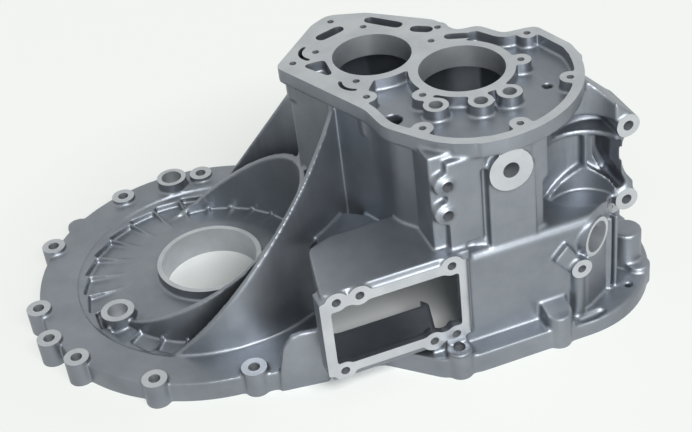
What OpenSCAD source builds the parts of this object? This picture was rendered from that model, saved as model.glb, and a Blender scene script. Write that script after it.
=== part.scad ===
/* [Casting] */
// Thickness of the outer walls
wall_t = 5; // [4:0.5:6]
// Thickness of the mating flange
flange_t = 17; // [14:1:20]
// Height of the flange bosses above the flange
boss_rise = 4; // [2:0.5:8]
// Radius of the flange bosses
boss_r = 9.5; // [8:0.5:11]
// Radius of the flange bolt holes
bolt_hole_r = 4.4; // [3:0.1:5.5]
// Radius of the flange's round end under the gear case
case_end_r = 79.5; // [78:0.5:82]
// Thickness of the flange at that end
case_end_t = 12.5; // [11:0.5:13.5]

/* [Final drive end] */
// Radius of the round end of the flange
disc_r = 136; // [132:1:142]
// Radius of the final drive bearing bore
drive_bore_r = 37.5; // [30:0.5:40]
// Wall of the raised ring round that bore
drive_ring_wall = 4; // [3:0.5:6]
// Height of the raised ring above the mating face
drive_ring_z = 23; // [20:1:30]
// Radius of the shallow step round the ribbed floor
step_r = 106; // [104:0.5:110]
// Depth of that step below the flange
step_depth = 2.5; // [1:0.5:4]
// Outer radius of the ribbed floor
fan_r = 102.5; // [98:0.5:103.5]
// Inset of the saw teeth at the rim of the floor
tooth_depth = 4; // [2:0.5:6]
// Number of radial ribs on the floor
rib_count = 26; // [20:1:30]
// Thickness of a radial rib
rib_t = 2.4; // [1.6:0.2:4]
// Radius at which the floor starts to fall
floor_start_r = 56; // [50:1:62]
// Height of the floor where it starts to fall
floor_in_z = 15; // [13:0.5:16]
// Height of the floor at its rim
floor_out_z = 8; // [7:0.5:11]
// Thickness of the floor
floor_t = 5; // [4:0.5:6]

/* [Swept walls] */
// Inner radius of the low swept wall
low_wall_r = 80; // [76:1:84]
// Thickness of the low swept wall
low_wall_t = 4.5; // [3:0.5:6]
// Height of the low swept wall's cut at the bore axis
low_cut_z = 36; // [30:1:42]
// Slope angle of the low swept wall's cut
low_cut_angle = 35.3; // [30:0.1:40]
// Direction of the slope, from the bore axis to the tower
cut_dir = -22; // [-26:1:-18]
// Thickness of the high swept wall
high_wall_t = 4.5; // [3:0.5:6]
// Height of the high swept wall's cut at the bore axis
high_cut_z = 69; // [64:1:74]
// Slope angle of the high swept wall's cut
high_cut_angle = 45; // [40:0.5:48]
// Radius of the high wall's front sweep into the tower
sweep_r = 133; // [128:1:140]
// Fall of the high wall's cut towards its back
back_fall = 32.5; // [28:0.5:36]

/* [Tower] */
// Height of the tower's top face above the mating face
tower_z = 183; // [170:1:196]
// Thickness of the bearing plate at the top
plate_t = 16; // [13:0.5:20]
// Radius of the tower's round corner
tower_r = 87; // [84:0.5:90]
// Centre of that round corner, along the window wall
tower_cx = 184; // [180:0.5:188]
// Centre of that round corner, away from the window wall
tower_cy = -90; // [-93:0.5:-87]
// Radius of the large bearing bore
main_bore_r = 31; // [26:0.5:34]
// Place of the large bearing bore along the window wall
main_bore_x = 190; // [188:0.5:192]
// Place of the large bearing bore away from the window wall
main_bore_y = -82; // [-84:0.5:-80]
// Radius of the small bearing bore
small_bore_r = 29; // [24:0.5:30]
// Place of the small bearing bore along the window wall
small_bore_x = 141; // [139:0.5:143]
// Place of the small bearing bore away from the window wall
small_bore_y = -32; // [-34:0.5:-30]
// Width of the land round each bearing bore
bore_land = 7; // [5:0.5:8]
// Depth of the pocket in the top face
pocket_depth = 9; // [5:0.5:11]
// Width of the rim round the pocket
rim_w = 7; // [5:0.5:8]
// Radius of the tapped holes in the top face
top_hole_r = 2.6; // [2:0.1:3.3]
// Depth of the tapped holes in the top face
top_hole_depth = 14; // [10:1:18]
// Radius of the lobes round the tapped holes
top_lobe_r = 7.5; // [6:0.5:9]

/* [Window box] */
// Distance of the window face from the final drive axis
window_y = 175; // [170:0.5:180]
// Height of the box above the mating face
box_z = 100; // [96:1:104]
// Centre of the window along its wall
window_cx = 93; // [91:0.5:95]
// Height of the window's centre
window_cz = 61; // [59:0.5:63]
// Hole spacing of the window frame along the wall
window_sx = 84.5; // [80:0.5:88]
// Hole spacing of the window frame in height
window_sz = 62; // [58:0.5:64]
// Width of the window opening
window_w = 94; // [86:0.5:96]
// Height of the window opening
window_h = 51; // [44:0.5:53]
// Width of the frame round the opening
frame_w = 7.5; // [6:0.5:9]
// Radius of the frame's hole lobes
frame_lobe_r = 8; // [6.5:0.5:9]
// Radius of the frame's bolt holes
frame_hole_r = 3.3; // [2.5:0.1:4]
// Rise of the machined frame above the cast wall
frame_rise = 1.5; // [0.5:0.5:3]
// Height of the box floor's underside
box_floor_z = 22; // [20:1:26]

/* [Front face] */
// Height of the lower body beside the window box
body_z = 94; // [90:1:98]
// Radius of the horizontal boss on the front column
eye_r = 16; // [13:0.5:18]
// Radius of the hole in that boss
eye_hole_r = 6; // [4:0.5:9]
// Height of that boss above the mating face
eye_z = 155; // [150:1:160]
// Centre of the front column along the window wall
column_x = 183; // [180:0.5:186]
// Width of the groove beside the front column
groove_w = 4; // [3:0.5:5]

/* [Side bracket] */
// Radius of the two screw tubes
tube_r = 9; // [7:0.5:11]
// Radius of the holes in the screw tubes
tube_hole_r = 4; // [3:0.1:5]
// Place of the screw tubes along the window wall
tube_x = 284; // [280:1:288]
// Height of the upper screw tube
tube_top_z = 144; // [140:1:148]
// Distance between the two screw tubes
tube_pitch = 64; // [58:1:68]
// Thickness of the bracket's webs
web_t = 4.5; // [3:0.5:5]
// Radius of the scoop between the tower and the screw tubes
scoop_r = 31; // [28:0.5:33]
// Depth of the wall between the webs behind the webs' edges
web_reach = 5; // [3:0.5:6]
// Radius of the bore in the case's slanted wall
side_bore_r = 12; // [8:0.5:13]

/* [Hidden] */

// Amount by which a cutting tool runs past the face it cuts
over = 1;
// Height that clears the whole casting
clear_z = 400;
// Segments of a rounded corner
corner_steps = 5;
$fn = 72;

boss_z = flange_t + boss_rise;
drive_ring_r = drive_bore_r + drive_ring_wall;
rib_step = 360 / rib_count;
first_rib = 90;
// Drop of the ribs below the step, and the lean of a tooth's short edge in degrees
rib_drop = 0.5;
tooth_lean = 1;
main_bore = [main_bore_x, main_bore_y];
small_bore = [small_bore_x, small_bore_y];
tower_c = [tower_cx, tower_cy];
pocket_z = tower_z - pocket_depth;
roof_z = tower_z - plate_t;
frame_face_y = -window_y - frame_rise;
frame_x0 = window_cx - window_w / 2 - frame_w;
column_face_y = 2.5 - window_y;
plate_face_y = 4.5 - window_y;
body_edge_r = 6;
// Height of the deck and of the skirt panel
deck_z = 82;
skirt_z = 50;
frame_depth = 14;
// Underside of the tower's rim, and the rim's overhang
rim_z = 171;
rim_over = 6;
dowel_step = 17;
pad_hole_r = 4;
side_bore_z = 75;
// Place of that bore on the slanted wall, and the wall's direction
side_bore_at = [246, -171.5];
slant = 30.6;
case_end_c = [235, -111];
// Left and back edges of the flange's thinner end
thin_end = [222.5, -100];
// Screw tubes of the bracket, from their front ends back to the bracket's back
tube_front_y = -151;
bracket_front_y = -150;
bracket_back_y = -112;
tube_low_z = tube_top_z - tube_pitch;
// Centres of the bracket's scoop, of its deep hollow and of the dip in the case's roof
scoop_c = [246, -161];
hollow_c = [258, -150];
hollow_r = 30;
dip_c = [256, -128];
dip_r = 33;
dip_z = 86;
// Undersides of the bracket's three webs
WEBS = [tube_low_z + 4, tube_top_z - 11, tube_top_z + 5.5];
// Tilt of the low wall's raised front end, and its height at the bore axis
end_cut_z = 37.9;
end_cut_angle = 26.5;
end_cut_dir = -31.9;
// Foot of the high walls, and heights that their rings reach before the cuts
wall_foot_z = flange_t - step_depth - over;
low_wall_z = 120;
back_wall_z = tower_z - 20;
front_wall_z = tower_z - 10;
// Corner where the front sweep ends inside the tower
sweep_end = [104, -40];
// Plain boss on the ribbed floor, and the shaft boss at the disc's back
floor_boss_at = [-81, -25];
floor_boss_hole_r = 8;
floor_boss_wall = 5;
floor_boss_z = flange_t + 3;
shaft_boss_at = [0, disc_r - 17];
shaft_boss_hole_r = 8.5;
shaft_boss_wall = 4;
shaft_boss_z = flange_t + 9;
// Length of the lobes under the tower's rim
lobe_drop = 16;
// Skirt panel: its place, its turn and its outline in its own plane
skirt_at = [12, -142.5];
skirt_turn = -9;
skirt_sunk = 2;
SKIRT_OUTLINE = [[-2, 0], [0, 20], [4, 38], [11, 48], [18, skirt_z], [34, skirt_z], [34, 0]];
pocket_tube_r = 9;
pocket_tube_wall = 4;
chamfer = 1;
PAD_HOLES = [[138, 155], [137, 131.5]];
pad_hole_depth = 18;
pad_lobe_r = 9;
// Block behind the drilled plate, and how far the front's parts reach down into the body
block_x0 = 128;
block_depth = 26;
block_h = 92;
front_sunk = 10;
// Drilled plate: its step in front of the block, its underside, height and thickness
plate_step = 6;
plate_z = 102;
plate_h = 70;
plate_depth = 10;
// Front column, its eye and the groove beside it
column_wall = 3;
column_depth = 24;
eye_rise = 2;
eye_hole_depth = 26;
groove_depth = 6;
groove_rise = 4;

// Bolt bosses round the disc, each as [angle, radius]
DISC_BOLTS = [
    [78, disc_r - 13], [110, disc_r - 9], [145, disc_r], [178, disc_r + 1],
    [194, disc_r + 4], [208, disc_r + 1], [237, disc_r - 1], [268, disc_r - 2]
];
// Bolt bosses round the gear case, each as [x, y]
CASE_BOLTS = [
    [134, -183], [211, -185], [306, -84], [268, -22],
    [216, 32], [152, 68], [86, 108]
];
// Plain lobes on the flange's edge, and the knob that stands beside them
PLAIN_LOBES = [[295, -150], polar(130, disc_r - 2)];
KNOB = [291, -139];
knob_r = 11.5;
knob_z = 43;
// Radius and height of the notch in the bracket's outer edge
notch_r = 40;
notch_z = 120;
notch_x = tube_x - 4 + notch_r;
// Channel in the bracket's panel: its path, its radius and the wall behind it
channel_r = 4;
CHANNEL_PATH = [[271.5, WEBS[1] - 6], [271.5, WEBS[1] - 20], [279, WEBS[0] + web_t + 6]];
scoop_back = 8;
tube_end_wall = 4;
// Outline of the bracket, and of the panel and the rib left in its scoop
BRACKET_OUTLINE = [
    [225, rim_z - 4], [225, WEBS[0]], [tube_x + 6, WEBS[0]],
    [tube_x + 6, tube_top_z + 6], [262, rim_z + 6]
];
PANEL_OUTLINE = [
    [230, WEBS[0]], [284, WEBS[0]], [282, WEBS[0] + web_t + 3], [260, 107], [230, WEBS[0] + web_t]
];
scoop_rib_x = 258.5;
scoop_rib_t = 3;
// Boss round the bore in the slanted wall
side_boss_wall = 3;
side_boss_rise = 3;
side_boss_sunk = 8;
side_bore_reach = 30;
// Ribs on the slanted wall, each as [place along the wall, depth], and their size
SLANT_RIBS = [[19, 9], [24, 11]];
slant_rib_t = 2.5;
slant_rib_h = 67;
slant_rib_sunk = 6;
// Stud with a tapped hole on the case's front, from y0 to y1, and the rounded rib below it
stud_at = [231, 58];
stud_r = 8;
stud_y0 = -183;
stud_y1 = -170;
stud_hole_r = 3.2;
stud_hole_end = -172;
stud_rib_at = [231, -176];
stud_rib_r = 5;
FIN_OUTLINE = [[211, 69], [221.5, 80.5], [227, 72], [233, 60], [222, 57]];
fin_y0 = -180;
fin_y1 = -174;
// Gusset over the flange's boss below the front column, in side view as [y, z]
column_bolt = CASE_BOLTS[1];
column_bolt_z = 28;
gusset_x0 = 201;
gusset_w = 20;
GUSSET_OUTLINE = [[-173, flange_t - 1], [-173, 32], [-177, 32], [-187, 28.5], [-187, flange_t - 1]];
// Blind hole and shallow recess in the flange's thinner end
end_hole_at = [278.5, -165.5];
end_hole_r = 2.5;
end_hole_depth = 9;
END_RECESS = [[226, -182, 2], [229, -187.5, 2], [240, -187.5, 2], [250.5, -183, 1], [247, -180, 1]];
end_recess_depth = 3;
// Tapped holes through the rim of the top face
RIM_HOLES = [
    [131, 29], [86, -15], [136, -139], [195, -165], [250, -130],
    [251, -61], [198, -20], [117, -84]
];
// Tapped holes round the bearing bores
LAND_HOLES = [
    [150, 9], [106, -8], [118, -61], [186, -36], [152, -101], [231, -92]
];
// Screw tubes that stand in the top pocket
POCKET_TUBES = [[155, -117], [184, -127], [206, -126]];
// Plain holes through the bearing plate, each as [x, y, radius]
PLATE_HOLES = [[127, -106, 6.5], [238, -119, 3.5]];
// Solid left web of the top face, its slots as [start, end, radius] and its cored corner
LEFT_WEB = [
    [60, -78], [120, -78], [142, -50], [190, -50], [214, -46],
    [218, 0], [150, 60], [60, 20]
];
WEB_SLOTS = [
    [[158, 16], [173, -1], 4.5], [[117, 10], [132, 15], 4.5],
    [[183, -14], [190, -19], 4.5], [[200, -37], [211, -42], 4]
];
WEB_CORE = [[90, -21, 3], [106, -50, 2.5], [108, -22, 3]];
// Curved grooves beside two of the holes, each as [hole, first angle, last angle]
LOBE_GROOVES = [[LAND_HOLES[1], 112, 230], [LAND_HOLES[2], 149, 255]];
groove_in_r = 10;
groove_out_r = 13;
sector_r = 18;
sector_mid_r = 24;
// Front edge of the tower's left part, just inside the round corner
front_line = tower_cy - tower_r + 0.6;
// Straight edge that follows the round corner at the back
edge_start = tower_c + [tower_r - 0.6, 2];
edge_end = [261, -55];
edge_run = edge_start - edge_end;
// Region of the tower that the round corner fills, each corner as [x, y, radius]
TOWER_ROUND = [
    [tower_cx - 22, edge_end.y + 4.4 * edge_run.y, 0],
    [edge_end.x + 4.4 * edge_run.x, edge_end.y + 4.4 * edge_run.y, 0],
    [edge_end.x + 0.7 * edge_run.x, edge_end.y + 0.7 * edge_run.y, 0],
    [tower_cx - 22, edge_end.y + 0.7 * edge_run.y, 0]
];
// Left and front of the tower's plan, each corner as [x, y, radius]
TOWER_FRONT = [
    [73, -14, 7], [110, -99, 30], [113, -125, 30], [148, front_line, 62],
    [tower_cx + 9, front_line, 0], [tower_cx + 9, tower_cy - 30, 0],
    [edge_start.x, tower_cy - 20, 0], [edge_start.x, edge_start.y, 0]
];
// Lobed back of the tower's plan, and the plainer back of the chamber inside it
TOWER_BACK = [
    [edge_end.x, edge_end.y, 7], [236, -52, 8], [225, -33, 9], [208, -31, 8],
    [200, -8, 14], [160, 28, 16], [132, 40, 14], [116, 31, 12]
];
CHAMBER_BACK = [[edge_end.x, edge_end.y, 20], [206, -28, 25], [160, 24, 16], [132, 38, 14], [114, 28, 12]];
// Outline of the lower gear case, each corner as [x, y, radius]
CASE_OUTLINE = [
    [117, -window_y, 0], [240, -window_y, 9], [262, -162, 12], [287, -126, 14], [287, -70, 30],
    [250, -12, 30], [190, 32, 20], [130, 48, 16], [82, 4, 12], [132, -110, 0]
];
// Outline of the window box, each corner as [x, y, radius]
BOX_OUTLINE = [
    [frame_x0 + 2, -window_y, 3], [150, -window_y, 0], [150, -113, 0],
    [70, -114, 8], [50, -122, 10]
];
// Passage from the disc into the case, below the flange's top
THROAT_OUTLINE = [[92, -62], [128, -90], [128, 30], [88, 68]];
// Outline of the deck between the box, the tower and the high wall
DECK_OUTLINE = [[57, -128, 4], [66, -86, 0], [90, -68, 0], [122, -90, 0], [122, -128, 0]];
// Outline of the flange under the gear case, each corner as [x, y, radius]
FLANGE_OUTLINE = [
    [0, -141, 0], [40, -147, 30], [86, -152, 12], [122, -186, 20],
    [148, -190.5, 10], [235, -190.5, 0], [313, -110, 0], [290, -40, 30],
    [228, 22, 50], [150, 72, 60], [60, 122, 0], [0, 100, 0]
];

// Unit vector from p to q
function toward(p, q) = (q - p) / norm(q - p);

// Points of one rounded corner at b, between a and c
function corner(a, b, c, r) =
    let(
        u = toward(b, a),
        v = toward(b, c),
        half = acos(u * v) / 2,
        centre = b + toward([0, 0], u + v) * r / sin(half),
        start = b + u * r / tan(half),
        from = atan2(start.y - centre.y, start.x - centre.x),
        turn = sign(u.y * v.x - u.x * v.y) * (180 - 2 * half)
    )
    [for (k = [0:corner_steps])
        centre + r * [cos(from + turn * k / corner_steps), sin(from + turn * k / corner_steps)]];

function xy(c) = [c.x, c.y];

// Outline with every corner rounded by its own radius
function rounded(pts) =
    let(n = len(pts))
    [for (i = [0:n - 1])
        each pts[i][2] > 0
            ? corner(xy(pts[(i + n - 1) % n]), xy(pts[i]), xy(pts[(i + 1) % n]), pts[i][2])
            : [xy(pts[i])]];

// Left normal of the edge from p to q, which points into a counter-clockwise outline
function inward(p, q) = [p.y - q.y, q.x - p.x] / norm(q - p);

// The outline moved inwards by d, with its corner radii kept on the same centres
function inset(pts, d) =
    let(n = len(pts))
    [for (i = [0:n - 1])
        let(
            a = xy(pts[(i + n - 1) % n]),
            b = xy(pts[i]),
            c = xy(pts[(i + 1) % n]),
            m = inward(a, b),
            k = inward(b, c),
            bend = sign((b.x - a.x) * (c.y - b.y) - (b.y - a.y) * (c.x - b.x)),
            p = b + d * (m + k) / (1 + m * k)
        )
        [p.x, p.y, pts[i][2] > 0 ? max(pts[i][2] - bend * d, 0.5) : 0]];

function polar(angle, r) = r * [cos(angle), sin(angle)];

// A slot from p to q with round ends
module slot(p, q, r) {
    run = norm(q - p);
    translate(p)
        rotate(atan2(q.y - p.y, q.x - p.x)) {
            circle(r);
            translate([run, 0]) circle(r);
            translate([0, -r]) square([run, 2 * r]);
        }
}

// A cylinder between two heights
module post(p, r, z0, z1) {
    translate([p.x, p.y, z0]) cylinder(r = r, h = z1 - z0);
}

// A cylinder along Y, from the front face y0 back to y1
module front_post(x, z, r, y0, y1) {
    translate([x, y0, z]) rotate([-90, 0, 0]) cylinder(r = r, h = y1 - y0);
}

// Plan of the tower with the given back, made smaller all round by d
module tower_plan(d, back = TOWER_BACK) {
    intersection() {
        translate(tower_c) circle(tower_r - d);
        polygon(rounded(inset(TOWER_ROUND, d)));
    }
    polygon(rounded(inset(concat(TOWER_FRONT, back), d)));
}

// Mating flange with its bolt bosses
module flange() {
    cylinder(r = disc_r, h = flange_t);
    difference() {
        union() {
            linear_extrude(flange_t) polygon(rounded(FLANGE_OUTLINE));
            post(case_end_c, case_end_r, 0, flange_t);
        }
        translate([thin_end.x, thin_end.y - clear_z, case_end_t]) cube([clear_z, clear_z, flange_t]);
    }
    for (b = DISC_BOLTS) post(polar(b[0], b[1]), boss_r, 0, boss_z);
    for (b = CASE_BOLTS) post(b, boss_r, 0, boss_z);
    for (b = PLAIN_LOBES) post(b, boss_r, 0, flange_t);
}

module flange_holes() {
    for (b = DISC_BOLTS) post(polar(b[0], b[1]), bolt_hole_r, -over, boss_z + over);
    for (b = CASE_BOLTS) post(b, bolt_hole_r, -over, boss_z + over);
}

// Saw-toothed outline of the ribbed floor
module fan_outline() {
    polygon([for (i = [0:rib_count - 1])
        let(a = first_rib + i * rib_step)
        each [polar(a + tooth_lean, fan_r - tooth_depth), polar(a + rib_step, fan_r)]]);
}

// Space above the ribbed floor, out to the saw-toothed rim
module fan_space() {
    intersection() {
        translate([0, 0, -over]) linear_extrude(boss_z + 2 * over) fan_outline();
        rotate_extrude()
            polygon([
                [0, boss_z], [0, floor_in_z], [floor_start_r, floor_in_z],
                [fan_r, floor_out_z], [fan_r, boss_z]
            ]);
    }
}

// Radial ribs that grow out of the falling floor
module fan_ribs() {
    rib_z = flange_t - step_depth - rib_drop;
    for (i = [0:rib_count - 1])
        rotate(first_rib + i * rib_step)
            translate([floor_start_r - 4, -rib_t / 2, floor_out_z - 2])
                cube([fan_r - floor_start_r + 5, rib_t, rib_z - floor_out_z + 2]);
}

// Half space above a tilted cut, used to trim a swept wall
module above_cut(z0, angle, dir) {
    rotate(dir)
        translate([0, 0, z0])
            rotate([0, -angle, 0])
                translate([-clear_z, -clear_z, 0])
                    cube([2 * clear_z, 2 * clear_z, clear_z]);
}

// Upright ring between two radii
module ring_wall(r, t, z0, z1) {
    translate([0, 0, z0])
        difference() {
            cylinder(r = r + t, h = z1 - z0);
            translate([0, 0, -over]) cylinder(r = r, h = z1 - z0 + 2 * over);
        }
}

// Low wall that sweeps round the bearing bore and climbs to the tower
module low_wall() {
    difference() {
        ring_wall(low_wall_r, low_wall_t, floor_out_z - over, low_wall_z);
        intersection() {
            above_cut(low_cut_z, low_cut_angle, cut_dir);
            above_cut(end_cut_z, end_cut_angle, end_cut_dir);
        }
    }
}

// High wall on the step circle behind the bore
module high_wall_back() {
    difference() {
        intersection() {
            ring_wall(step_r - high_wall_t, high_wall_t, wall_foot_z, back_wall_z);
            translate([-clear_z, 0, 0]) cube([2 * clear_z, clear_z, clear_z]);
        }
        translate([0, 0, high_cut_z])
            rotate([0, -high_cut_angle, 0])
                rotate([-back_fall, 0, 0])
                    translate([-clear_z, -clear_z, 0])
                        cube([2 * clear_z, 2 * clear_z, clear_z]);
    }
}

// High wall in front, which leaves the step circle and sweeps into the tower
module high_wall_front() {
    difference() {
        union() {
            intersection() {
                ring_wall(step_r - high_wall_t, high_wall_t, wall_foot_z, front_wall_z);
                translate([-clear_z, -clear_z, 0]) cube([clear_z, clear_z, clear_z]);
            }
            intersection() {
                translate([0, sweep_r - step_r, 0])
                    ring_wall(sweep_r - high_wall_t, high_wall_t, wall_foot_z, front_wall_z);
                translate([0, sweep_end.y - clear_z, 0]) cube([sweep_end.x, clear_z, clear_z]);
            }
        }
        above_cut(high_cut_z, high_cut_angle, 0);
    }
}

// Bearing seat and the two plain bosses beside it
module drive_bosses() {
    post([0, 0], drive_ring_r, 0, drive_ring_z);
    post(floor_boss_at, floor_boss_hole_r + floor_boss_wall, 2 * over, floor_boss_z);
    post(shaft_boss_at, shaft_boss_hole_r + shaft_boss_wall, 0, shaft_boss_z);
}

// Gear case: the tower and the wider case at its foot
module gear_case() {
    difference() {
        union() {
            linear_extrude(tower_z) tower_plan(rim_over);
            for (h = RIM_HOLES) post(h, top_lobe_r, rim_z - lobe_drop, tower_z);
            difference() {
                linear_extrude(body_z) polygon(rounded(CASE_OUTLINE));
                front_edge();
            }
            bracket_block();
        }
        bracket_scoop();
    }
    translate([0, 0, rim_z]) linear_extrude(tower_z - rim_z) tower_plan(0);
}

// Waste outside the round edge along the top of the case's front
module front_edge() {
    translate([0, body_edge_r - window_y, body_z - body_edge_r])
        difference() {
            translate([0, -body_edge_r - over, 0])
                cube([clear_z, body_edge_r + over, body_edge_r + over]);
            translate([-over, 0, 0]) rotate([0, 90, 0]) cylinder(r = body_edge_r, h = clear_z + 2 * over);
        }
}

// Window box that overhangs the flange, and the deck behind it
module window_box() {
    translate([0, 0, box_floor_z])
        linear_extrude(box_z - box_floor_z) polygon(rounded(BOX_OUTLINE));
    translate([0, 0, flange_t - over])
        linear_extrude(deck_z - flange_t + over) polygon(rounded(DECK_OUTLINE));
}

// Upright panel that closes the gap between the disc and the window box
module skirt_panel() {
    translate(skirt_at)
        rotate([90, 0, skirt_turn])
            translate([0, 0, -skirt_sunk])
                linear_extrude(wall_t) polygon(SKIRT_OUTLINE);
}

// Bolt holes at the frame's corners, then its two dowel holes
function frame_holes() =
    let(sx = window_sx / 2, sz = window_sz / 2)
    [
        [window_cx - sx, window_cz - sz], [window_cx + sx, window_cz - sz],
        [window_cx + sx, window_cz + sz], [window_cx - sx, window_cz + sz],
        [window_cx - sx + dowel_step, window_cz + sz], [window_cx + sx - dowel_step, window_cz - sz]
    ];

module frame_lobes() {
    for (p = frame_holes()) translate(p) circle(frame_lobe_r);
}

// Stands an outline up on the window wall, from depth y0 back to y1
module on_wall(y0, y1) {
    translate([0, y1, 0]) rotate([90, 0, 0]) linear_extrude(y1 - y0) children();
}

// Machined frame of the window
module window_frame() {
    on_wall(frame_face_y, frame_depth - window_y) {
        translate([frame_x0, window_cz - window_h / 2 - frame_w])
            square([window_w + 2 * frame_w, window_h + 2 * frame_w]);
        frame_lobes();
    }
}

// Window opening, less the lobes that reach into it, and the frame's holes
module window_cuts() {
    on_wall(frame_face_y - over, frame_depth - window_y + over)
        difference() {
            translate([window_cx - window_w / 2, window_cz - window_h / 2])
                square([window_w, window_h]);
            frame_lobes();
        }
    for (p = frame_holes())
        front_post(p.x, p.y, frame_hole_r, frame_face_y - over, frame_face_y + frame_depth - 2);
}

// Front of the tower: a stepped block, its drilled pad and the column with the eye
module front_face() {
    pad_x1 = column_x - eye_r;
    column_x1 = column_x + eye_r + column_wall;
    translate([block_x0, plate_face_y + plate_step, body_z - front_sunk])
        cube([column_x1 - block_x0, block_depth, block_h]);
    on_wall(plate_face_y, plate_face_y + plate_depth) {
        translate([PAD_HOLES[0].x, plate_z]) square([pad_x1 - PAD_HOLES[0].x, plate_h]);
        for (p = PAD_HOLES) translate(p) circle(pad_lobe_r);
    }
    on_wall(column_face_y, column_face_y + column_depth)
        translate([pad_x1, body_z - front_sunk])
            square([column_x1 - pad_x1, eye_z - body_z + front_sunk]);
    front_post(column_x, eye_z, eye_r, column_face_y - eye_rise, column_face_y + column_depth);
}

module front_cuts() {
    for (p = PAD_HOLES) front_post(p.x, p.y, pad_hole_r, plate_face_y - over, plate_face_y + pad_hole_depth);
    front_post(column_x, eye_z, eye_hole_r, column_face_y - eye_rise - over, column_face_y + eye_hole_depth);
    translate([column_x - eye_r - groove_w, column_face_y - over, body_z + groove_rise])
        cube([groove_w, groove_depth + over, eye_z - body_z]);
}

// Solid that the side bracket is scooped out of, with its concave right edge
module bracket_block() {
    difference() {
        on_wall(bracket_front_y, bracket_back_y) polygon(BRACKET_OUTLINE);
        front_post(notch_x, notch_z, notch_r, bracket_front_y - over, bracket_back_y + over);
    }
}

// Upright rib and triangular panel left standing in the scoop
module scoop_panel() {
    on_wall(bracket_front_y, bracket_back_y) {
        translate([scoop_rib_x, WEBS[0]]) square([scoop_rib_t, WEBS[1] - WEBS[0] + over]);
        polygon(PANEL_OUTLINE);
    }
}

// Space in front of the bracket's webs, and the hollows between them
module bracket_scoop() {
    low_top = WEBS[0] + web_t;
    mid_top = WEBS[1] + web_t;
    intersection() {
        post(dip_c, dip_r, dip_z, body_z + 1);
        post(scoop_c, scoop_r, dip_z - over, body_z + 2);
    }
    post(scoop_c, scoop_r, body_z, rim_z + 8);
    difference() {
        intersection() {
            post(scoop_c, scoop_r + web_reach, low_top, WEBS[1]);
            union() {
                post(dip_c, dip_r, low_top - over, body_z + over);
                post(scoop_c, scoop_r + web_reach + over, body_z, WEBS[1] + over);
            }
        }
        scoop_panel();
    }
    post(hollow_c, hollow_r, mid_top, WEBS[2]);
    on_wall(bracket_front_y - over, bracket_back_y - scoop_back)
        for (k = [1, 2]) slot(CHANNEL_PATH[k - 1], CHANNEL_PATH[k], channel_r);
}

// Screw tubes of the side bracket
module side_bracket() {
    for (z = [tube_low_z, tube_top_z]) front_post(tube_x, z, tube_r, tube_front_y, bracket_back_y);
}

module bracket_holes() {
    for (z = [tube_low_z, tube_top_z])
        front_post(tube_x, z, tube_hole_r, tube_front_y - over, bracket_back_y - tube_end_wall);
}

// Frame on the slanted wall, with +X out of the wall and +Y along it
module on_slanted_wall() {
    translate(side_bore_at) rotate(slant - 90) children();
}

// A cylinder out of the slanted wall, round the axis of its bore
module slanted_post(r, x0, x1) {
    on_slanted_wall()
        translate([x0, 0, side_bore_z]) rotate([0, 90, 0]) cylinder(r = r, h = x1 - x0);
}

// Bosses and ribs round the lower right of the case
module side_bosses() {
    slanted_post(side_bore_r + side_boss_wall, -side_boss_sunk, side_boss_rise);
    on_slanted_wall()
        for (rib = SLANT_RIBS)
            translate([-slant_rib_sunk, rib[0], case_end_t - over])
                cube([rib[1], slant_rib_t, slant_rib_h]);
    front_post(stud_at[0], stud_at[1], stud_r, stud_y0, stud_y1);
    post(stud_rib_at, stud_rib_r, case_end_t - over, stud_at[1]);
    on_wall(fin_y0, fin_y1) polygon(FIN_OUTLINE);
    post(column_bolt, boss_r, 0, column_bolt_z);
    translate([gusset_x0, 0, 0])
        rotate([90, 0, 90])
            linear_extrude(gusset_w) polygon(GUSSET_OUTLINE);
    post(KNOB, knob_r, 0, knob_z);
}

module side_cuts() {
    slanted_post(side_bore_r, -side_boss_sunk - over, side_bore_reach);
    front_post(stud_at[0], stud_at[1], stud_hole_r, stud_y0 - over, stud_hole_end);
    post(end_hole_at, end_hole_r, case_end_t - end_hole_depth, case_end_t + over);
    translate([0, 0, case_end_t - end_recess_depth])
        linear_extrude(end_recess_depth + over) polygon(rounded(END_RECESS));
}

// Pocket in the top face, round the bores, the lobes and the solid left web
module top_pocket() {
    translate([0, 0, pocket_z])
        linear_extrude(pocket_depth + over)
            difference() {
                tower_plan(rim_w);
                translate(main_bore) circle(main_bore_r + bore_land);
                translate(small_bore) circle(small_bore_r + bore_land);
                for (h = RIM_HOLES) translate(h) circle(top_lobe_r);
                for (h = LAND_HOLES) translate(h) circle(top_lobe_r);
                for (h = POCKET_TUBES) translate(h) circle(pocket_tube_r);
                polygon(LEFT_WEB);
            }
}

// Curved groove beside a hole of the solid left web, between two directions
module lobe_groove(p, from, to) {
    translate(p)
        intersection() {
            difference() {
                circle(groove_out_r);
                circle(groove_in_r);
            }
            polygon([
                [0, 0], polar(from, sector_r), polar((from + to) / 2, sector_mid_r), polar(to, sector_r)
            ]);
        }
}

// Small cored slots in the solid left web of the top face
module web_slots() {
    translate([0, 0, pocket_z])
        linear_extrude(pocket_depth + over) {
            for (c = WEB_SLOTS) slot(c[0], c[1], c[2]);
            polygon(rounded(WEB_CORE));
            for (g = LOBE_GROOVES) lobe_groove(g[0], g[1], g[2]);
        }
}

module top_holes() {
    for (h = concat(RIM_HOLES, LAND_HOLES)) post(h, top_hole_r, tower_z - top_hole_depth, tower_z + over);
    for (h = POCKET_TUBES) post(h, pocket_tube_r - pocket_tube_wall, roof_z - over, tower_z + over);
    for (h = PLATE_HOLES) post(xy(h), h[2], roof_z - over, tower_z + over);
}

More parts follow.
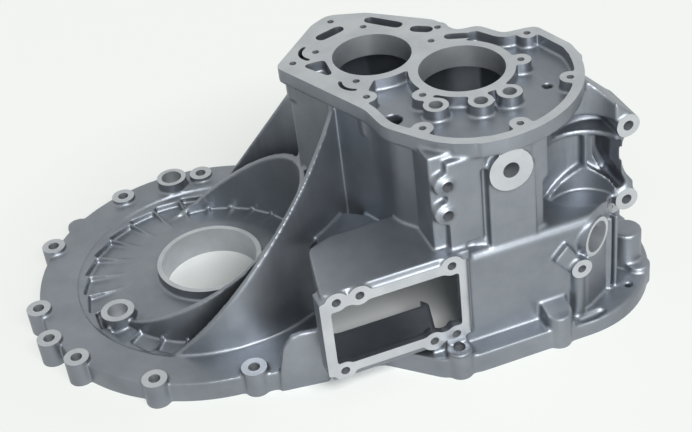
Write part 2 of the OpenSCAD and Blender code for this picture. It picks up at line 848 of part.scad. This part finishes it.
// Through bore of a bearing seat with a chamfered mouth
module bearing_bore(p, r, z0, z1) {
    post(p, r, z0 - over, z1 + over);
    translate([p.x, p.y, z1 - chamfer]) cylinder(r1 = r, r2 = r + chamfer + over, h = chamfer + over);
}

// Everything that is hollow inside the casting
module cavities() {
    difference() {
        union() {
            translate([0, 0, -over])
                linear_extrude(roof_z + over) tower_plan(rim_over + wall_t, CHAMBER_BACK);
            translate([0, 0, -over])
                linear_extrude(body_z - wall_t + over) polygon(rounded(inset(CASE_OUTLINE, wall_t)));
        }
        post(scoop_c, scoop_r + web_reach + wall_t, dip_z - wall_t, tower_z);
        post(hollow_c, hollow_r + wall_t, WEBS[1], WEBS[2] + web_t + wall_t);
    }
    translate([0, 0, box_floor_z + wall_t])
        linear_extrude(box_z - 2 * wall_t - box_floor_z) polygon(rounded(inset(BOX_OUTLINE, wall_t)));
    translate([0, 0, -over])
        linear_extrude(deck_z - wall_t + over) polygon(rounded(inset(DECK_OUTLINE, wall_t)));
    rotate_extrude()
        polygon([
            [drive_ring_r + wall_t, -over], [drive_ring_r + wall_t, floor_in_z - floor_t],
            [floor_start_r, floor_in_z - floor_t], [fan_r, floor_out_z - floor_t],
            [fan_r, -over]
        ]);
    translate([0, 0, -over])
        linear_extrude(flange_t - wall_t + over)
            difference() {
                polygon(THROAT_OUTLINE);
                circle(step_r);
            }
}

module disc() {
    difference() {
        flange();
        fan_space();
        post([0, 0], step_r, flange_t - step_depth, flange_t + over);
    }
    fan_ribs();
    drive_bosses();
}

module housing() {
    color("darkgray")
        difference() {
            union() {
                disc();
                low_wall();
                high_wall_back();
                high_wall_front();
                gear_case();
                window_box();
                skirt_panel();
                window_frame();
                front_face();
                side_bracket();
                side_bosses();
            }
            cavities();
            flange_holes();
            window_cuts();
            front_cuts();
            bracket_holes();
            side_cuts();
            top_pocket();
            web_slots();
            top_holes();
            bearing_bore([0, 0], drive_bore_r, 0, drive_ring_z);
            bearing_bore(main_bore, main_bore_r, roof_z, tower_z);
            bearing_bore(small_bore, small_bore_r, roof_z, tower_z);
            post(floor_boss_at, floor_boss_hole_r, -over, floor_boss_z + over);
            post(shaft_boss_at, shaft_boss_hole_r, -over, shaft_boss_z + over);
        }
}

housing();
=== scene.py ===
"""Looks of a die-cast transmission housing: one casting with soft cast edges.

The CAD mesh gets machining stock on its machined faces and its holes are filled.
A voxel remesh then rounds every edge, and the planes and holes are cut back sharp.
"""

import math
from collections import namedtuple

import bmesh
import bpy
import numpy as np
from mathutils import Matrix, Vector


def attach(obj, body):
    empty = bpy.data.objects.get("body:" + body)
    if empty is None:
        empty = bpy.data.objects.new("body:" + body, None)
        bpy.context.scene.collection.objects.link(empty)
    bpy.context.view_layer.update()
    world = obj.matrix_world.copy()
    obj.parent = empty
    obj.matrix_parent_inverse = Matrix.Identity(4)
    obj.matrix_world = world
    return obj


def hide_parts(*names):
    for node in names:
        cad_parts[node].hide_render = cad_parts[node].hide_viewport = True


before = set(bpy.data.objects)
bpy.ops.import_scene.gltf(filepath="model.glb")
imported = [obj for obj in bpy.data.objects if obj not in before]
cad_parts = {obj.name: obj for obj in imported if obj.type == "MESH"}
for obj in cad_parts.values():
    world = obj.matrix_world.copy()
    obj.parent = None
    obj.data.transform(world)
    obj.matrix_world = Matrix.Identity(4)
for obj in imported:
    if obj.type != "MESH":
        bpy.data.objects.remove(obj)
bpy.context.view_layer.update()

# The part's lengths are in mm, and the floor, the lamps and the camera are in metres
MM = 0.001
UP, DOWN, FRONT = Vector((0, 0, 1)), Vector((0, 0, -1)), Vector((0, -1, 0))

# A hole runs from its mouth into the metal. A flat's radius is that of the cutter that
# levels it, which is a little wider than the boss below
Hole = namedtuple("Hole", "mouth end radius through")
Flat = namedtuple("Flat", "centre out radius")

# The casting's mesh: voxel and machining stock in metres, smoothing steps, triangles kept
VOXEL = 1.05 * MM
STOCK = 2.5 * MM
SMOOTH_STEPS = 11
TRIANGLES = 165_000
SHARP_DEGREES = 32

# Vertices of the CAD mesh that lie closer than this, in metres, are one
MERGE = 1e-6

# Where the machined faces are, and the roof under the top face
TOP_Z = 183
ROOF_Z = 167
BOSS_Z = 21
RING_Z = 23
WINDOW_Y = -176.5

# Bearing bores in the top face as (x, y, radius), and the final drive's bore and ring
BEARING_BORES = [(190, -82, 31), (141, -32, 29)]
DRIVE_R, RING_FLAT_R = 37.5, 46

# Bolt bosses round the disc as (angle, radius), the others as (x, y), and the blind bolt hole
# under the column with its end
DISC_BOLTS = [
    (78, 123), (110, 127), (145, 136), (178, 137), (194, 140), (208, 137), (237, 135), (268, 134),
]
CASE_BOLTS = [(134, -183), (306, -84), (268, -22), (216, 32), (152, 68), (86, 108)]
COLUMN_BOLT, COLUMN_BOLT_END = (211, -185), 22
BOLT_R, BOSS_FLAT_R = 4.4, 10.5

# Threaded holes of the top face, and the tubes that go through it
RIM_HOLES = [
    (131, 29), (86, -15), (136, -139), (195, -165), (250, -130), (251, -61), (198, -20), (117, -84),
]
LAND_HOLES = [(150, 9), (106, -8), (118, -61), (186, -36), (152, -101), (231, -92)]
CORE_R, CORE_DEPTH = 2.6, 14
POCKET_TUBES = [(155, -117), (184, -127), (206, -126)]
POCKET_TUBE_R = 5

# Bosses that stand on the floor, as (top, radius of the hole, radius of the flat)
FLOOR_BOSS = Vector((-81, -25, 20)), 8, 14.5
SHAFT_BOSS = Vector((0, 119, 26)), 8.5, 14

# Holes that face the window side, as (x, z)
FRAME_HOLES = [(50.75, 30), (135.25, 30), (135.25, 92), (50.75, 92), (67.75, 92), (118.25, 30)]
FRAME_HOLE_R, FRAME_HOLE_DEPTH = 3.3, 12
BRACKET_TUBES = [(284, 80), (284, 144)]
BRACKET_HOLE_R, BRACKET_FLAT_R = 4, 10.5
BRACKET_Y = (-151, -116)
PAD_HOLES = [(138, 155), (137, 131.5)]
PAD_HOLE_R = 4
PAD_Y = (-170.5, -152.5)
EYE, EYE_HOLE_R, EYE_FLAT_R = (183, 155), 6, 17.5
EYE_Y = (-174.5, -146.5)
STUD, STUD_HOLE_R, STUD_FLAT_R = (231, 58), 3.2, 9.5
STUD_Y = (-183, -172)

# Bore in the slanted wall: its outward direction, its two ends and the flat round it
SIDE_BORE = Vector((246, -171.5, 75))
SIDE_OUT = Vector((0.509041, -0.860742, 0))
SIDE_MOUTH = SIDE_BORE + 3 * SIDE_OUT
SIDE_END = SIDE_BORE - 8 * SIDE_OUT
SIDE_R, SIDE_FLAT_R = 12, 17

# Machined planes, each with how far its faces reach from the point given
PLANES = [
    Flat(Vector((0, 0, TOP_Z)), UP, 400),
    Flat(Vector((0, 0, 0)), DOWN, 400),
    Flat(Vector((93, WINDOW_Y, 61)), FRONT, 80),
]

# Boxes that hold the stock outside those planes, as two corners
WASTE = [
    ((-300, -300, TOP_Z), (400, 300, TOP_Z + 20)),
    ((-300, -300, -20), (400, 300, 0)),
    ((36, -200, 21.5), (146, WINDOW_Y, 103)),
]

# Plan, counter-clockwise, and heights of the wall that closes the tower's back corner
CORNER_WALL = [(251, -60.2), (232.1, -58), (221.5, -40), (217, -43), (228, -63), (248, -65.5)]
CORNER_Z = (89.5, 168)

# How far a plug is wider than its hole and starts before it or ends past it
PLUG_WIDER, PLUG_PAST = 0.6, 2

# How far a hole's cutter starts before it or ends past it, and how high a flat's cutter is
CUT_BEFORE, CUT_PAST = 4, 3
FLAT_CUT = 3.6

# Sides of a cutter: on flats and plugs, on holes, and on holes wider than WIDE_R
FLAT_SIDES, HOLE_SIDES, WIDE_SIDES = 48, 32, 96
WIDE_R = 20

# A face is on a plane when its normal's cosine is above and its distance below these
CAD_FACING, CAD_OFF = 0.999, 0.01
MESH_FACING, MESH_OFF = 0.99, 0.02

# A face is in a bore when its distance, slope and place along the axis are off by less
BORE_OFF, BORE_SLOPE, BORE_PAST = 0.15, 0.05, 1

# Darker and lighter tone of each metal
CAST_TONES = (0.19, 0.207, 0.232, 1), (0.27, 0.29, 0.32, 1)
MACHINED_TONES = (0.42, 0.44, 0.465, 1), (0.52, 0.54, 0.56, 1)
TONE_PLACES = (0.3, 0.7)

# Plain floor and world, and the white that camera, glossy and transmission rays see
FLOOR_SIZE = 6
FLOOR_COLOUR = (0.9, 0.92, 0.9, 1)
FLOOR_WHITE = (0.9, 0.925, 0.9, 1)
WORLD_COLOUR, WORLD_LEVEL = (0.86, 0.9, 0.94, 1), 0.15
WORLD_WHITE = (0.91, 0.93, 0.91, 1)

# The floor gives up that white near this point, where the part's shadow is. The share of
# white grows with the distance in two steps, as (start, end, growth)
SHADOW_CENTRE = (0.085, -0.025, 0)
SHADOW_NEAR = (0.13, 0.15, 0.75)
SHADOW_FAR = (0.15, 0.32, 0.22)

# Soft lamps as (name, place, target, size, watts)
LAMPS = [
    ("key", (0.15, -0.95, 0.9), (0.12, -0.1, 0.08), (0.5, 0.4), 13),
    ("front", (0.1, -1.25, 0.3), (0.12, -0.05, 0.05), (0.6, 0.5), 9),
]

# The camera that was solved from the photograph: place, axes, lens, sensor and how far it sees
CAMERA_PLACE = (-0.130203, -0.861619, 0.692424)
CAMERA_RIGHT = (0.93309, -0.344988, -0.101618)
CAMERA_UP = (0.284756, 0.536104, 0.794674)
CAMERA_BACK = (-0.219675, -0.770438, 0.598471)
CAMERA_LENS, CAMERA_SENSOR = 72.09, 36
CAMERA_REACH = 20


def polar(angle, radius):
    return radius * math.cos(math.radians(angle)), radius * math.sin(math.radians(angle))


def mesh_from(bm, name):
    mesh = bpy.data.meshes.new(name)
    bm.to_mesh(mesh)
    bm.free()
    obj = bpy.data.objects.new(name, mesh)
    bpy.context.collection.objects.link(obj)
    return obj


def add_cylinder(bm, start, end, radius, sides=FLAT_SIDES):
    """A closed cylinder between two points."""
    a, b = Vector(start) * MM, Vector(end) * MM
    turn = (b - a).to_track_quat("Z", "Y").to_matrix().to_4x4()
    bmesh.ops.create_cone(
        bm, cap_ends=True, segments=sides, radius1=radius * MM, radius2=radius * MM,
        depth=(b - a).length, matrix=Matrix.Translation((a + b) / 2) @ turn,
    )


def add_box(bm, low, high):
    """A box between two corners."""
    a, b = Vector(low) * MM, Vector(high) * MM
    size = Matrix.Diagonal((*(b - a), 1))
    bmesh.ops.create_cube(bm, size=1, matrix=Matrix.Translation((a + b) / 2) @ size)


def add_prism(bm, plan, low, high):
    """An upright prism over a counter-clockwise plan, between two heights."""
    rings = [[bm.verts.new(Vector((x, y, z)) * MM) for x, y in plan] for z in (low, high)]
    bm.faces.new(list(reversed(rings[0])))
    bm.faces.new(rings[1])
    for i in range(len(plan)):
        j = (i + 1) % len(plan)
        bm.faces.new((rings[0][i], rings[0][j], rings[1][j], rings[1][i]))


def apply_modifiers(obj):
    graph = bpy.context.evaluated_depsgraph_get()
    mesh = bpy.data.meshes.new_from_object(obj.evaluated_get(graph))
    obj.modifiers.clear()
    obj.data = mesh


def boss_places():
    """Centres of the bolt bosses with machined tops."""
    return [polar(angle, radius) for angle, radius in DISC_BOLTS] + CASE_BOLTS


def upright_hole(place, mouth_z, end_z, radius, through):
    return Hole(Vector((*place, mouth_z)), Vector((*place, end_z)), radius, through)


def front_hole(place, ends_y, radius):
    """A blind hole drilled in from the window side at (x, z)."""
    x, z = place
    mouth, end = (Vector((x, y, z)) for y in ends_y)
    return Hole(mouth, end, radius, False)


def holes():
    """Every drilled or bored hole."""
    rows = [upright_hole((0, 0), RING_Z, 0, DRIVE_R, True)]
    rows += [upright_hole((x, y), TOP_Z, ROOF_Z, r, True) for x, y, r in BEARING_BORES]
    rows += [upright_hole(place, BOSS_Z, 0, BOLT_R, True) for place in boss_places()]
    rows.append(upright_hole(COLUMN_BOLT, 0, COLUMN_BOLT_END, BOLT_R, False))
    rows += [upright_hole(place, TOP_Z, TOP_Z - CORE_DEPTH, CORE_R, False)
             for place in RIM_HOLES + LAND_HOLES]
    rows += [upright_hole(place, TOP_Z, ROOF_Z, POCKET_TUBE_R, True) for place in POCKET_TUBES]
    rows += [upright_hole(top.xy, top.z, 0, hole_r, True)
             for top, hole_r, _ in (FLOOR_BOSS, SHAFT_BOSS)]
    frame_y = (WINDOW_Y, WINDOW_Y + FRAME_HOLE_DEPTH)
    rows += [front_hole(place, frame_y, FRAME_HOLE_R) for place in FRAME_HOLES]
    rows += [front_hole(place, BRACKET_Y, BRACKET_HOLE_R) for place in BRACKET_TUBES]
    rows += [front_hole(place, PAD_Y, PAD_HOLE_R) for place in PAD_HOLES]
    rows += [front_hole(EYE, EYE_Y, EYE_HOLE_R), front_hole(STUD, STUD_Y, STUD_HOLE_R)]
    rows.append(Hole(SIDE_MOUTH, SIDE_END, SIDE_R, True))
    return rows


def front_flat(place, y, radius):
    """A flat that faces the window side at (x, z)."""
    x, z = place
    return Flat(Vector((x, y, z)), FRONT, radius)


def flats():
    """Every machined flat on a boss, a tube or the slanted wall."""
    rows = [Flat(Vector((*place, BOSS_Z)), UP, BOSS_FLAT_R) for place in boss_places()]
    rows.append(Flat(Vector((0, 0, RING_Z)), UP, RING_FLAT_R))
    rows += [Flat(top, UP, flat_r) for top, _, flat_r in (SHAFT_BOSS, FLOOR_BOSS)]
    rows += [front_flat(place, BRACKET_Y[0], BRACKET_FLAT_R) for place in BRACKET_TUBES]
    rows += [front_flat(EYE, EYE_Y[0], EYE_FLAT_R), front_flat(STUD, STUD_Y[0], STUD_FLAT_R)]
    rows.append(Flat(SIDE_MOUTH, SIDE_OUT, SIDE_FLAT_R))
    return rows


def is_on(face, flat):
    """Whether a face of the CAD mesh belongs to a machined flat."""
    offset = face.calc_center_median() / MM - flat.centre
    facing = face.normal.dot(flat.out) > CAD_FACING
    return facing and abs(offset.dot(flat.out)) < CAD_OFF and offset.length < flat.radius


def add_cutter(bm, hole, before, past, radius, sides):
    """A cylinder along a hole, from before its mouth to its end or past its open end."""
    along = (hole.end - hole.mouth).normalized()
    end = hole.end + past * along if hole.through else hole.end
    add_cylinder(bm, hole.mouth - before * along, end, radius, sides)


def stocked_copy(node):
    """The CAD mesh with its machined faces moved out by the stock and its holes filled."""
    bm = bmesh.new()
    bm.from_mesh(node.data)
    bmesh.ops.remove_doubles(bm, verts=bm.verts, dist=MERGE)
    bm.normal_update()
    for flat in PLANES + flats():
        faces = [f for f in bm.faces if is_on(f, flat)]
        moved = bmesh.ops.extrude_face_region(bm, geom=faces)["geom"]
        verts = [v for v in moved if isinstance(v, bmesh.types.BMVert)]
        bmesh.ops.translate(bm, verts=verts, vec=flat.out * STOCK)
        bmesh.ops.delete(bm, geom=faces, context="FACES")
    for hole in holes():
        add_cutter(bm, hole, PLUG_PAST, PLUG_PAST, hole.radius + PLUG_WIDER, FLAT_SIDES)
    add_prism(bm, CORNER_WALL, *CORNER_Z)
    return mesh_from(bm, "casting")


def round_cast_edges(obj):
    """Voxel remesh and smoothing give every edge and corner the small radius of a casting."""
    remesh = obj.modifiers.new("voxels", "REMESH")
    remesh.mode = "VOXEL"
    remesh.voxel_size = VOXEL
    smooth = obj.modifiers.new("soften", "SMOOTH")
    smooth.factor = 0.5
    smooth.iterations = SMOOTH_STEPS
    apply_modifiers(obj)
    # The remesh leaves quads, so that the triangles are twice the polygons
    reduce = obj.modifiers.new("reduce", "DECIMATE")
    reduce.ratio = TRIANGLES / (2 * len(obj.data.polygons))
    apply_modifiers(obj)


def cut(obj, bm):
    """Cuts a tool mesh out of the casting."""
    tool = mesh_from(bm, "tool")
    step = obj.modifiers.new("cut", "BOOLEAN")
    step.operation = "DIFFERENCE"
    step.solver = "MANIFOLD"
    step.object = tool
    apply_modifiers(obj)
    bpy.data.objects.remove(tool)


def machine(obj):
    """Cuts the machined planes and flats, then the holes."""
    bm = bmesh.new()
    for low, high in WASTE:
        add_box(bm, low, high)
    for flat in flats():
        add_cylinder(bm, flat.centre, flat.centre + FLAT_CUT * flat.out, flat.radius)
    cut(obj, bm)
    bm = bmesh.new()
    for hole in holes():
        sides = WIDE_SIDES if hole.radius > WIDE_R else HOLE_SIDES
        add_cutter(bm, hole, CUT_BEFORE, CUT_PAST, hole.radius, sides)
    cut(obj, bm)


def polygon_vectors(mesh, name):
    values = np.empty(len(mesh.polygons) * 3)
    mesh.polygons.foreach_get(name, values)
    return values.reshape(-1, 3)


def mark_machined(obj):
    """Faces on machined planes and in bores take the second material slot."""
    mesh = obj.data
    centre, normal = polygon_vectors(mesh, "center") / MM, polygon_vectors(mesh, "normal")
    machined = np.zeros(len(mesh.polygons), dtype=bool)
    for flat in PLANES + flats():
        out = np.array(flat.out)
        offset = centre - np.array(flat.centre)
        on_plane = (normal @ out > MESH_FACING) & (abs(offset @ out) < MESH_OFF)
        machined |= on_plane & (np.linalg.norm(offset, axis=1) < flat.radius)
    for hole in holes():
        along = np.array((hole.end - hole.mouth).normalized())
        offset = centre - np.array(hole.mouth)
        run = offset @ along
        away = np.linalg.norm(offset - run[:, None] * along, axis=1)
        wall = (abs(away - hole.radius) < BORE_OFF) & (abs(normal @ along) < BORE_SLOPE)
        length = (hole.end - hole.mouth).length
        machined |= wall & (run > -BORE_PAST) & (run < length + BORE_PAST)
    mesh.polygons.foreach_set("material_index", machined.astype(np.int32))


def new_material(name):
    mat = bpy.data.materials.new(name)
    mat.use_nodes = True
    nodes, links = mat.node_tree.nodes, mat.node_tree.links
    return mat, nodes, links, nodes["Principled BSDF"]


def noise(nodes, links, scale, detail):
    """Noise fixed to the part, as a value from 0 to 1."""
    coords = nodes.new("ShaderNodeTexCoord")
    tex = nodes.new("ShaderNodeTexNoise")
    tex.inputs["Scale"].default_value = scale
    tex.inputs["Detail"].default_value = detail
    tex.inputs["Roughness"].default_value = 0.6
    links.new(coords.outputs["Object"], tex.inputs["Vector"])
    return tex.outputs["Fac"]


def ramp(nodes, links, source, tones):
    """A colour that runs from the first tone to the second with a value."""
    node = nodes.new("ShaderNodeValToRGB")
    for element, place, tone in zip(node.color_ramp.elements, TONE_PLACES, tones):
        element.position = place
        element.color = tone
    links.new(source, node.inputs["Fac"])
    return node.outputs["Color"]


def metal(name, tones, metallic, roughness, blotch_scale, blotch_detail):
    """A metal whose colour drifts softly between two tones."""
    mat, nodes, links, shader = new_material(name)
    shader.inputs["Metallic"].default_value = metallic
    shader.inputs["Roughness"].default_value = roughness
    blotch = noise(nodes, links, blotch_scale, blotch_detail)
    links.new(ramp(nodes, links, blotch, tones), shader.inputs["Base Color"])
    return mat, nodes, links, shader


def cast_material():
    """Cast skin: dull, darker than the machined faces, with a fine grain."""
    mat, nodes, links, shader = metal(
        "cast_aluminium", CAST_TONES,
        metallic=0.95, roughness=0.44, blotch_scale=18, blotch_detail=6,
    )
    bump = nodes.new("ShaderNodeBump")
    bump.inputs["Strength"].default_value = 0.25
    bump.inputs["Distance"].default_value = 0.0004
    grain = noise(nodes, links, scale=900, detail=3)
    links.new(grain, bump.inputs["Height"])
    links.new(bump.outputs["Normal"], shader.inputs["Normal"])
    return mat


def machined_material():
    mat, *_ = metal(
        "machined_aluminium", MACHINED_TONES,
        metallic=0.8, roughness=0.36, blotch_scale=40, blotch_detail=4,
    )
    return mat


def rise(nodes, links, source, start, end, growth):
    """Grows from 0 while the source runs from start to end."""
    node = nodes.new("ShaderNodeMapRange")
    node.inputs["From Min"].default_value = start
    node.inputs["From Max"].default_value = end
    node.inputs["To Min"].default_value = 0
    node.inputs["To Max"].default_value = growth
    links.new(source, node.inputs["Value"])
    return node.outputs["Result"]


def maths(nodes, links, operation, a, b):
    node = nodes.new("ShaderNodeMath")
    node.operation = operation
    links.new(a, node.inputs[0])
    links.new(b, node.inputs[1])
    return node.outputs["Value"]


def mix_shaders(tree, share, first, second, output):
    mix = tree.nodes.new("ShaderNodeMixShader")
    tree.links.new(share, mix.inputs["Fac"])
    tree.links.new(first, mix.inputs[1])
    tree.links.new(second, mix.inputs[2])
    tree.links.new(mix.outputs["Shader"], tree.nodes[output].inputs["Surface"])


def backdrop_share(nodes, links):
    """Camera, glossy and transmission rays alike see the white backdrop."""
    rays = nodes.new("ShaderNodeLightPath").outputs
    bounced = maths(nodes, links, "MAXIMUM", rays["Is Glossy Ray"], rays["Is Transmission Ray"])
    return maths(nodes, links, "MAXIMUM", rays["Is Camera Ray"], bounced)


def floor_material():
    """Plain pale floor that fades into the white backdrop and keeps the part's shadow."""
    mat, nodes, links, shader = new_material("floor")
    shader.inputs["Base Color"].default_value = FLOOR_COLOUR
    shader.inputs["Roughness"].default_value = 0.9
    shader.inputs["Specular IOR Level"].default_value = 0.1
    coords = nodes.new("ShaderNodeTexCoord")
    away = nodes.new("ShaderNodeVectorMath")
    away.operation = "DISTANCE"
    away.inputs[1].default_value = SHADOW_CENTRE
    links.new(coords.outputs["Object"], away.inputs[0])
    near = rise(nodes, links, away.outputs["Value"], *SHADOW_NEAR)
    far = rise(nodes, links, away.outputs["Value"], *SHADOW_FAR)
    clear_of_part = maths(nodes, links, "ADD", near, far)
    share = maths(nodes, links, "MULTIPLY", backdrop_share(nodes, links), clear_of_part)
    glow = nodes.new("ShaderNodeEmission")
    glow.inputs["Color"].default_value = FLOOR_WHITE
    mix_shaders(
        mat.node_tree, share, shader.outputs["BSDF"], glow.outputs["Emission"], "Material Output",
    )
    return mat


def make_world():
    """Plain soft light all round, with one even white backdrop."""
    world = bpy.data.worlds.new("studio")
    world.use_nodes = True
    nodes, links = world.node_tree.nodes, world.node_tree.links
    plain = nodes["Background"]
    plain.inputs["Color"].default_value = WORLD_COLOUR
    plain.inputs["Strength"].default_value = WORLD_LEVEL
    white = nodes.new("ShaderNodeBackground")
    white.inputs["Color"].default_value = WORLD_WHITE
    mix_shaders(
        world.node_tree, backdrop_share(nodes, links),
        plain.outputs["Background"], white.outputs["Background"], "World Output",
    )
    bpy.context.scene.world = world


def area_light(name, place, target, size, watts):
    lamp = bpy.data.lights.new(name, "AREA")
    lamp.shape = "RECTANGLE"
    lamp.size, lamp.size_y = size
    lamp.energy = watts
    obj = bpy.data.objects.new(name, lamp)
    obj.location = place
    obj.rotation_euler = (Vector(target) - Vector(place)).to_track_quat("-Z", "Y").to_euler()
    obj.visible_camera = False
    bpy.context.collection.objects.link(obj)


def make_camera():
    data = bpy.data.cameras.new("camera")
    data.lens = CAMERA_LENS
    data.sensor_width = CAMERA_SENSOR
    data.clip_end = CAMERA_REACH
    obj = bpy.data.objects.new("camera", data)
    turn = Matrix((CAMERA_RIGHT, CAMERA_UP, CAMERA_BACK)).transposed().to_4x4()
    obj.matrix_world = Matrix.Translation(CAMERA_PLACE) @ turn
    bpy.context.collection.objects.link(obj)
    bpy.context.scene.camera = obj


def make_floor():
    bm = bmesh.new()
    bmesh.ops.create_grid(bm, x_segments=1, y_segments=1, size=FLOOR_SIZE)
    floor = mesh_from(bm, "floor")
    floor.data.materials.append(floor_material())


def make_casting():
    casting = stocked_copy(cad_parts["housing"])
    round_cast_edges(casting)
    machine(casting)
    casting.data.materials.clear()
    casting.data.materials.append(cast_material())
    casting.data.materials.append(machined_material())
    mark_machined(casting)
    casting.data.shade_smooth()
    casting.data.set_sharp_from_angle(angle=math.radians(SHARP_DEGREES))
    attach(casting, "root")
    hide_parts("housing")


bpy.context.scene.view_settings.view_transform = "Standard"
make_camera()
make_world()
make_floor()
for lamp_row in LAMPS:
    area_light(*lamp_row)
make_casting()
